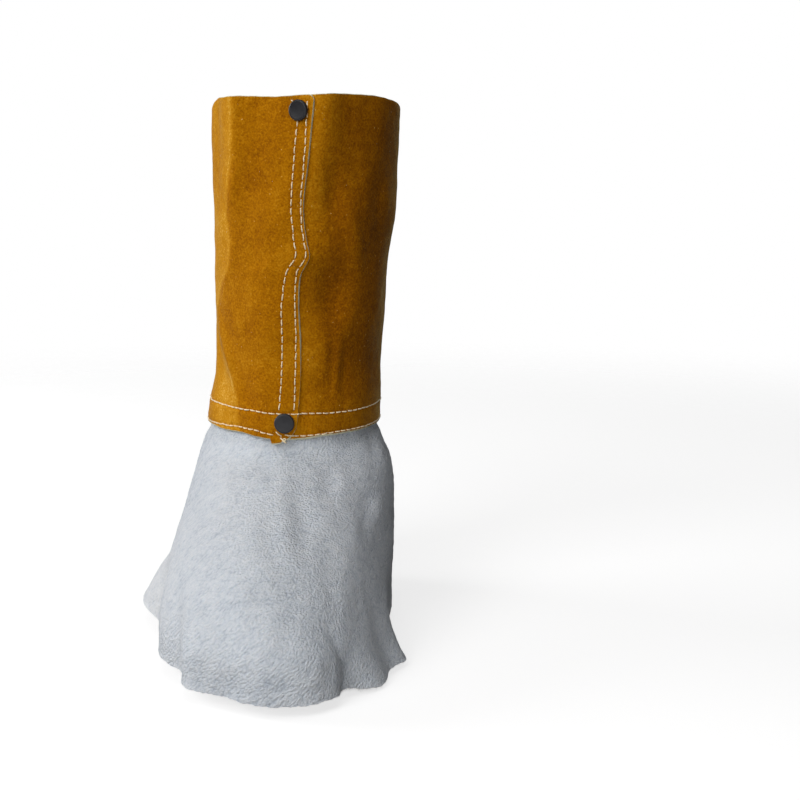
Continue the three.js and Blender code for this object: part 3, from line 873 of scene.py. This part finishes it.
# Threads: twisted two-ply tubes along a path, each path an array of points with its own up vectors
def threadTubes(paths, ups, radius):
    sides = stitchLook["tube"][1]
    twist, swell, flatten = stitchLook["ply"]
    paths, ups = np.asarray(paths), np.asarray(ups)
    count, rings = paths.shape[:2]
    ahead = unit(np.gradient(paths, axis=1))
    side = unit(np.cross(ahead, ups))
    top = np.cross(side, ahead)
    around = np.arange(sides) * turn / sides
    roll = np.arange(rings)[:, None] / (rings - 1) * twist * math.pi
    lobed = radius * (1 + swell * np.cos(2 * (around[None] + roll)))
    points = (paths[:, :, None] + side[:, :, None] * (lobed * np.cos(around))[None, ..., None]
              + top[:, :, None] * (flatten * lobed * np.sin(around))[None, ..., None])
    base = (np.arange(count) * rings * sides)[:, None, None]
    ring = (np.arange(rings - 1) * sides)[None, :, None]
    k = np.arange(sides)[None, None]
    nextK = (k + 1) % sides
    quads = np.stack(np.broadcast_arrays(base + ring + k, base + ring + nextK,
                                         base + ring + sides + nextK, base + ring + sides + k), -1)
    ends = []
    for c in range(count):
        first = c * rings * sides
        ends.append(list(range(first + sides - 1, first - 1, -1)))
        ends.append(list(range(first + (rings - 1) * sides, first + rings * sides)))
    return points.reshape(-1, 3), quads.reshape(-1, 4).tolist() + ends


# stitches from hole to hole: each dives into the leather at both ends
def stitchPaths(arcs, heights, draw):
    look = stitchLook
    t = np.linspace(0, 1, look["tube"][0])[None]
    stepArc, stepZ = np.diff(arcs)[:, None], np.diff(heights)[:, None]
    count = len(stepArc)
    point, along, up, out = leatherFrame(arcs[:-1, None] + stepArc * t, heights[:-1, None] + stepZ * t)
    middleStray, endStray = look["stray"]
    lie = draw.normal(0, middleStray, (count, 1)) * np.sin(math.pi * t)
    lie = lie + draw.normal(0, endStray, (count, 1)) * (t - 0.5)
    climb = 1 - np.abs(2 * t - 1) ** look["dive"]
    proud, least, most = look["proud"]
    rise = look["holeDepth"] + proud + draw.uniform(least, most, (count, 1))
    height = rise * climb - look["holeDepth"]
    runsUp = (np.abs(stepZ) > np.abs(stepArc))[..., None]
    aside = np.where(runsUp, along, up)
    return point + out * height[..., None] + aside * lie[..., None], out


def sewRow(name, arcs, heights, seed):
    paths, ups = stitchPaths(arcs, heights, np.random.default_rng(seed))
    points, faces = threadTubes(paths, ups, stitchLook["thread"])
    return meshObject(name, points * mm, faces, [creamThread])


stitchRows = []
for k, name in enumerate(("lapRowOuter", "lapRowInner")):
    heights = np.arange(stitchLook["lapStart"], stitchLook["lapEnds"][k], stitchLook["lapPitch"])
    stitchRows.append(sewRow(name, lapRowArc(k, heights), heights, seed=51 + k))
for k, name in enumerate(("hemRowLower", "hemRowUpper")):
    first, last = stitchLook["hemHoles"][k]
    arcs = np.arange(first, last + 1) * stitchLook["hemPitch"]
    if name == "hemRowUpper":
        arcs = np.concatenate([[stitchLook["crossing"]], arcs])
    stitchRows.append(sewRow(name, arcs, hemRowHeight(k, arcs), seed=61 + k))
print("stitch rows sewn:", len(stitchRows))


# Loose thread ends: points in arc, height and out
threadEnds = {
    "radius": 0.4,
    "rings": 13,
    "ends": [
        # the stitch that steps over the lap's edge
        [(0.9, 15.4, -0.6), (0.6, 15.4, 0.4), (-0.2, 15.4, 0.5), (-0.9, 15.4, -0.7), (-1.7, 15.4, -1.4),
         (-2.3, 15.4, -2.5)],
        # ends and a knot below the lower cap
        [(7.0, 2.6, 0.2), (6.1, 2.4, 0.5), (4.2, 2.1, 0.5), (2.6, 1.7, -0.2), (1.6, 1.6, -1.3)],
        [(9.5, 0.6, 0.3), (8.4, -0.6, 0.8), (7.2, -1.2, 0.9), (6.4, -0.4, 0.8), (7.4, 0.2, 0.9),
         (8.2, -0.9, 1.0), (7.0, -1.9, 0.8), (6.0, -2.5, 0.4)],
        [(12.4, 4.3, 0.1), (11.7, 3.8, 0.6), (10.8, 2.9, 0.7), (9.8, 2.1, 0.5), (9.3, 1.3, 0.1)],
        # an end beside the upper cap
        [(12.6, 205.0, 0.1), (12.2, 204.9, 0.5), (11.8, 204.5, 0.4), (11.5, 204.2, 0.1)],
    ],
}


def makeThreadEnds():
    paths, ups = [], []
    for end in threadEnds["ends"]:
        steps = np.array(end, float)
        t = np.linspace(0, 1, threadEnds["rings"])
        arc, z, lift = (curveThrough(np.linspace(0, 1, len(steps)), steps[:, k], t) for k in range(3))
        point, _, _, out = leatherFrame(arc, z)
        paths.append(point + out * lift[:, None])
        ups.append(out)
    points, faces = threadTubes(paths, ups, threadEnds["radius"])
    return meshObject("threadEnds", points * mm, faces, [creamThread])


looseThreads = makeThreadEnds()


# Fibres: thin tapered three-sided hairs, each with a bend half way
hairLook = {
    "roll": 0.05,
    "bend": 0.35,
    "thickness": (0.6, 1.3),  # of the radius that is asked for
    "taper": 0.75,  # at the bend
}


def hairs(name, roots, ways, outs, lengths, radius, material, draw):
    look = hairLook
    count = len(roots)
    ways = unit(ways)
    side = unit(np.cross(ways, outs + draw.normal(0, look["roll"], outs.shape)))
    top = np.cross(side, ways)
    bend = draw.normal(0, look["bend"], (count, 2))
    half = (lengths / 2)[:, None]
    middle = roots + ways * half
    tip = roots + ways * lengths[:, None] + (side * bend[:, :1] + top * bend[:, 1:]) * half
    thick = radius * draw.uniform(*look["thickness"], count)[:, None]
    each = 7  # points of a hair: two rings of three and the tip
    points = np.empty((count, each, 3))
    for k in range(3):
        ring = side * math.cos(k * turn / 3) + top * math.sin(k * turn / 3)
        points[:, k] = roots + ring * thick
        points[:, 3 + k] = middle + ring * (look["taper"] * thick)
    points[:, 6] = tip
    base = np.arange(count)[:, None] * each
    quads = np.concatenate([base + np.array([[k, (k + 1) % 3, 3 + (k + 1) % 3, 3 + k]]) for k in range(3)])
    tips = np.concatenate([base + np.array([[3 + k, 3 + (k + 1) % 3, 6]]) for k in range(3)])
    feet = base + np.array([[2, 1, 0]])
    faces = quads.tolist() + tips.tolist() + feet.tolist()
    return meshObject(name, points.reshape(-1, 3) * mm, faces, [material], wearAndPaintedLight=np.zeros(count * each))


# points on the outside of a finished sheet, spread evenly by area
def scatter(obj, count, draw, keep):
    mesh = obj.data
    size = len(mesh.vertices)
    points = np.empty(size * 3)
    mesh.vertices.foreach_get("co", points)
    points = points.reshape(-1, 3) / mm
    corners = np.empty(len(mesh.polygons) * 4, np.int64)
    mesh.loops.foreach_get("vertex_index", corners)
    corners = corners.reshape(-1, 4)[keep]
    a, b, c, d = (points[corners[:, k]] for k in range(4))
    normal = np.cross(c - a, d - b)
    area = np.linalg.norm(normal, axis=1)
    chosen = draw.choice(len(corners), count, p=area / area.sum())
    s, t = draw.uniform(0, 1, (2, count, 1))
    where = (a[chosen] * (1 - s) + b[chosen] * s) * (1 - t) + (d[chosen] * (1 - s) + c[chosen] * s) * t
    return where, unit(normal[chosen])


napLook = {
    "flapHairs": 2600,
    "flapLength": (0.3, 0.9),
    "flapRadius": 0.045,
    "flapLay": (-0.55, -0.25, -0.8),  # the way the nap is brushed
    "flapStray": 0.45,
    "flapStand": (0.05, 0.4),  # how far the hairs stand up
    "flapRoot": 0.1,
    "fringeHairs": 1500,
    "fringeLength": (0.2, 1.1),
    "fringeRadius": 0.07,
    "fringeStray": (0.45, 0.1, 0.35),  # along the hem, then outwards with its spread
    "fringeRoot": (1.2, 0.2, 1.8),  # how far above the hem, then how deep in the wall
    "fringeEnds": 3,  # kept free at the flap's rear edges, in grid units
    "frayed": (0.14, 36, 4),  # share of the fringe, angle, spread
    "frayedLength": (2.0, 0.6),  # times the fringe's length where frayed and elsewhere
    "cuffLint": 90,
    "lintLength": (0.4, 1.3),
    "lintShare": (0.5, 1),  # of that length
    "lintStand": (0.0, 0.3),
    "lintRadius": 0.11,
}


def makeFlapNap():
    look = napLook
    draw = np.random.default_rng(71)
    count = look["flapHairs"]
    outsideFaces = np.arange(flapShape["columns"] * (len(flapRows) - 1))
    where, out = scatter(flap, count, draw, outsideFaces)
    down = np.array(look["flapLay"]) + draw.normal(0, look["flapStray"], (count, 3))
    flat = unit(down - out * np.sum(down * out, axis=1, keepdims=True))
    way = flat + out * draw.uniform(*look["flapStand"], (count, 1))
    lengths = draw.uniform(*look["flapLength"], count)
    roots = where - out * look["flapRoot"]
    return hairs("flapNap", roots, way, out, lengths, look["flapRadius"], greySuede, draw)


def makeHemFringe():
    look = napLook
    draw = np.random.default_rng(72)
    count = look["fringeHairs"]
    column = draw.uniform(look["fringeEnds"], 2 * gridUnit - look["fringeEnds"], count)
    share, at, spread = look["frayed"]
    frayed = draw.uniform(0, 1, count) < share
    frayedColumn = gridUnit * (1 - draw.normal(at, spread, count) / flapShape["rear"][1])
    column = np.where(frayed, frayedColumn, column)
    order = np.argsort(column)
    rows = np.array([0.0, 4.0])  # the hem and a line just above it
    u, v = np.meshgrid(column[order], rows, indexing="ij")
    edge = flapSurface(u, v)
    down = unit(edge[:, 0] - edge[:, 1])
    along = unit(np.gradient(edge[:, 0], axis=0))
    out = unit(np.cross(along, down))
    above, shallow, deep = look["fringeRoot"]
    roots = edge[:, 0] - down * above - out * draw.uniform(shallow, deep, (count, 1))
    sideStray, outward, outStray = look["fringeStray"]
    way = down + along * draw.normal(0, sideStray, (count, 1))
    way = way + out * draw.normal(outward, outStray, (count, 1))
    lengths = draw.uniform(*look["fringeLength"], count) * np.where(frayed[order], *look["frayedLength"])
    buried = 1.0  # what of each hair lies in the wall
    return hairs("hemFringe", roots, way, out, lengths + buried, look["fringeRadius"], greyCore, draw)


def makeCuffLint():
    look = napLook
    draw = np.random.default_rng(73)
    count = look["cuffLint"]
    margin = 1
    arc = draw.uniform(margin, cuffArc - cuffShape["lap"] - margin, count)
    z = draw.uniform(margin, cuffShape["height"] - 2 * margin, count)
    point, along, up, out = leatherFrame(arc, z)
    spin = draw.uniform(0, turn, (count, 1))
    way = along * np.cos(spin) + up * np.sin(spin) + out * draw.uniform(*look["lintStand"], (count, 1))
    lengths = draw.uniform(*look["lintLength"], count) * draw.uniform(*look["lintShare"], count)
    return hairs("cuffLint", point, way, out, lengths, look["lintRadius"], paleLint, draw)


nap = makeFlapNap()
fringe = makeHemFringe()
lint = makeCuffLint()
print("fibres laid:", napLook["flapHairs"] + napLook["fringeHairs"] + napLook["cuffLint"])


# Cap rivets: smooth turned caps with a flat top, a shank and the disc that closes them inside
capShape = {
    "radius": 6.25,
    "height": 2.5,
    "bevel": 1.1,
    "bevelSteps": 8,
    "dish": 0.35,  # how far the top is sunk in its middle
    "topRings": (0.94, 0.8, 0.6, 0.4, 0.2, 0.0),  # shares of the flat top's radius
    "foot": 0.4,
    "shank": 1.9,
    "disc": (4.6, 1.1),  # radius, thickness
    "discCorners": (0.3, 0.2),  # cut off its free and its seated edge
    "middle": 0.001,  # radius of the smallest ring
    "sides": 96,
    "edgeWear": (0.4, 0.5, 1.4),  # how far in from the edge, spread, lowest height
    # name, node, height, arc, what of the flap it grips, and its painted tone: painted shade below 0 on the
    # upper cap, a painted highlight above 0 on the lower
    "rivets": [("upperCap", "cap_rivet_upper", 199.1, 7.4, 0.0, -1.0),
               ("lowerCap", "cap_rivet_lower", 9.8, 7.7, 2.6, 0.4)],
}


def capProfile(grip):
    look = capShape
    seat = cuffShape["gap"]
    top = seat + look["height"]
    under = -grip - 2 * cuffShape["gap"]
    discRadius, discHeight = look["disc"]
    freeCorner, seatedCorner = look["discCorners"]
    line = [(look["middle"], under - discHeight), (discRadius - freeCorner, under - discHeight),
            (discRadius, under - discHeight + freeCorner), (discRadius, under - seatedCorner),
            (discRadius - seatedCorner, under), (look["shank"], under), (look["shank"], seat),
            (look["radius"] - look["foot"], seat), (look["radius"], seat + look["foot"])]
    for k in range(look["bevelSteps"] + 1):
        a = k / look["bevelSteps"] * math.pi / 2
        line.append((look["radius"] - look["bevel"] * (1 - math.cos(a)),
                     top - look["bevel"] * (1 - math.sin(a))))
    flat = look["radius"] - look["bevel"]
    for share in look["topRings"]:
        line.append((max(flat * share, look["middle"]), top - look["dish"] * (1 - share ** 2)))
    return np.array(line)


def makeCap(name, node, z, arc, grip, paintedTone):
    # the same seat as the solid: the leather's place and slope a little way round the hole
    reach = 2.0
    spots = np.array([[arc, z], [arc + reach, z], [arc - reach, z], [arc, z + reach], [arc, z - reach]])
    place = cuffPoint(cuffAngle(spots[:, 0], spots[:, 1]), spots[:, 1], lapLift(spots[:, 0]))
    out = unit(np.cross(place[3] - place[4], place[1] - place[2]))
    side = unit(np.cross(np.array([0, 0, 1.0]), out))
    up = np.cross(out, side)
    profile = capProfile(2 * cuffShape["wall"] + cuffShape["gap"] + grip)
    sides = capShape["sides"]
    around = np.arange(sides) * turn / sides
    ring = side * np.cos(around)[:, None] + up * np.sin(around)[:, None]
    points = place[0] + profile[:, None, :1] * ring[None] + profile[:, None, 1:] * out
    i, k = np.meshgrid(np.arange(len(profile) - 1), np.arange(sides), indexing="ij")
    nextK = (k + 1) % sides
    quads = np.stack([i * sides + k, i * sides + nextK, (i + 1) * sides + nextK, (i + 1) * sides + k], -1)
    last = (len(profile) - 1) * sides
    faces = quads.reshape(-1, 4).tolist() + [list(range(sides - 1, -1, -1)), list(range(last, last + sides))]
    inside, spread, lowest = capShape["edgeWear"]
    edgeWear = bell((profile[:, 0] - capShape["radius"] + inside) / spread) * (profile[:, 1] > lowest)
    # paler where the top's edge is worn, plus the cap's painted tone: painted shade on the upper cap, a
    # painted highlight on the lower
    wearAndPaintedLight = np.repeat(edgeWear + paintedTone, sides)
    cap = meshObject(name, points.reshape(-1, 3) * mm, faces, [blackEnamel], wearAndPaintedLight=wearAndPaintedLight)
    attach(cap, "root")
    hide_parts(node)
    return cap


caps = [makeCap(*row) for row in capShape["rivets"]]
print("caps turned:", len(caps))


# Frame: every piece rides on the root, and the solids the two sheets replace are hidden
for piece, slot in ([(cuff, "gold_suede"), (lint, "gold_suede"), (flap, "grey_suede"), (nap, "grey_suede"),
                     (fringe, "grey_suede"), (looseThreads, "cream_thread")]
                    + [(row, "cream_thread") for row in stitchRows]):
    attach(piece, "root")
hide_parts("leg_cuff")
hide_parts("foot_flap")


# Studio: pale floor, soft lights from the left and the front, weak fill
studio = {
    "floorDrop": 0.00106,  # below the solids, which leaves room for the fringe
    "floorRadius": 1.6,
    "floorSides": 64,
    "floorFade": (0.45, 0.95),  # it runs out into the white surroundings between these shares of its radius
    "floorSockets": {"Base Color": (0.42, 0.42, 0.42, 1), "Emission Color": (1, 1, 1, 1),
                     "Emission Strength": 0.72, "Roughness": 0.9, "Specular IOR Level": 0.0},
    "world": (1.0, 1.0, 1.0, 1),
    # azimuth from the front towards +X, elevation, distance, size, watts, colour
    "lights": {
        "key": (-40, 33, 1.7, 0.9, 15, (1, 1, 1)),
        "front": (-4, 10, 2.0, 1.2, 9.5, (1, 1, 1)),
        "side": (-105, 18, 1.6, 0.7, 15, (1, 1, 1)),
        "top": (14, 74, 1.9, 1.4, 8, (1, 1, 1)),
        "fill": (40, 5, 2.2, 1.6, 2.8, (1, 0.97, 0.93)),
        "bounce": (12, -8, 1.0, 0.5, 0.9, (1, 1, 1)),
        "rear": (170, 30, 2.0, 1.4, 6, (1, 1, 1)),
    },
    "aim": (0.0, -0.04, 0.04),
    "camera": (0.0711, -0.8, 0.147),
    "cameraTilt": 9.5,  # degrees down
    "lens": 54,
    "sensor": 36,
}


def makeFloor():
    reach = studio["floorRadius"]
    sides = studio["floorSides"]
    around = np.arange(sides) * turn / sides
    level = np.full(sides, cadLow[2] - studio["floorDrop"])
    rim = np.stack([reach * np.cos(around), reach * np.sin(around), level], -1)
    paper, tree, shader, place = startMaterial("palePaper")
    setSockets(shader, studio["floorSockets"])
    away = addNode(tree, "ShaderNodeVectorMath", {0: place}, operation="LENGTH").outputs["Value"]
    start, end = studio["floorFade"]
    faded = addNode(tree, "ShaderNodeMapRange", {
        "Value": away, "From Min": start * reach, "From Max": end * reach, "To Min": 1.0, "To Max": 0.0},
        interpolation_type="SMOOTHSTEP")
    tree.links.new(faded.outputs["Result"], shader.inputs["Alpha"])
    floor = meshObject("floor", rim, [list(range(sides))], [paper])
    floor.visible_diffuse = False  # keeps the pale floor from washing out the shaded side


def makeSurroundings():
    world = bpy.data.worlds.new("studio")
    bpy.context.scene.world = world
    world.use_nodes = True
    world.node_tree.nodes["Background"].inputs["Color"].default_value = studio["world"]
    world.cycles_visibility.diffuse = False
    world.cycles_visibility.glossy = False


def makeLights():
    aim = np.array(studio["aim"])
    for name, (azimuth, elevation, distance, size, watts, colour) in studio["lights"].items():
        lamp = bpy.data.lights.new(name, "AREA")
        lamp.energy = watts
        lamp.size = size
        lamp.color = colour
        a, e = math.radians(azimuth), math.radians(elevation)
        back = np.array([math.sin(a) * math.cos(e), -math.cos(a) * math.cos(e), math.sin(e)])
        holder = bpy.data.objects.new(name, lamp)
        holder.location = aim + back * distance
        holder.rotation_euler = (math.pi / 2 - e, 0, a)
        bpy.context.scene.collection.objects.link(holder)


def makeCamera():
    lens = bpy.data.cameras.new("camera")
    lens.lens = studio["lens"]
    lens.sensor_width = studio["sensor"]
    camera = bpy.data.objects.new("camera", lens)
    camera.location = studio["camera"]
    camera.rotation_euler = (math.radians(90 - studio["cameraTilt"]), 0, 0)
    bpy.context.scene.collection.objects.link(camera)
    bpy.context.scene.camera = camera


makeFloor()
makeSurroundings()
makeLights()
makeCamera()
bpy.context.scene.view_settings.view_transform = "Standard"
print("studio set, lights:", len(studio["lights"]))
